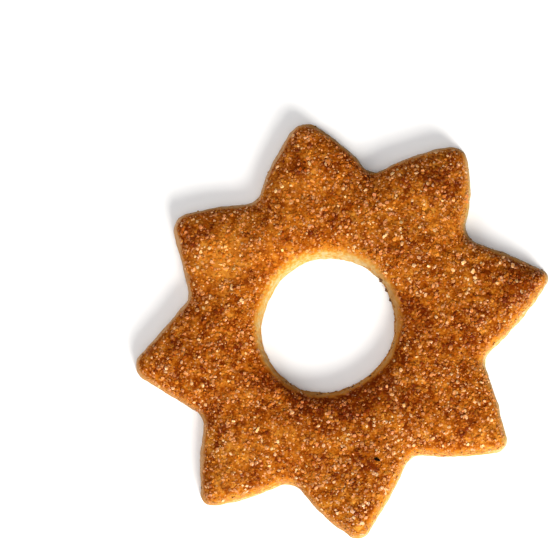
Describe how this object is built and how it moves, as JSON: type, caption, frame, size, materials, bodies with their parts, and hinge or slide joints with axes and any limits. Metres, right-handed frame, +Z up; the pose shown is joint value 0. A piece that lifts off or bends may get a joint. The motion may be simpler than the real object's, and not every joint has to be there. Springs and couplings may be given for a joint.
{
  "type": "cinnamon star cookie",
  "caption": "Flat star-shaped ring biscuit with rounded points, a round hole in the middle and cinnamon sugar baked onto its top.",
  "frame": {"origin": "middle of the bounding box, on the underside that the cookie rests on", "axes": "+Z up out of the sugared face, through the thickness; +X and +Y lie in the cookie's plane"},
  "size_m": [0.0822, 0.0828, 0.0065],
  "materials": {
    "biscuit": "baked dough, dry and slightly rough, browned on the face, golden at the cut edges",
    "sugar": "granulated sugar crystals, stained amber by cinnamon and baking, with a few clear glints",
    "cinnamon": "ground cinnamon flecks, dull dark brown"
  },
  "bodies": {
    "root": {"star_cookie": "biscuit"}
  },
  "joints": []
}
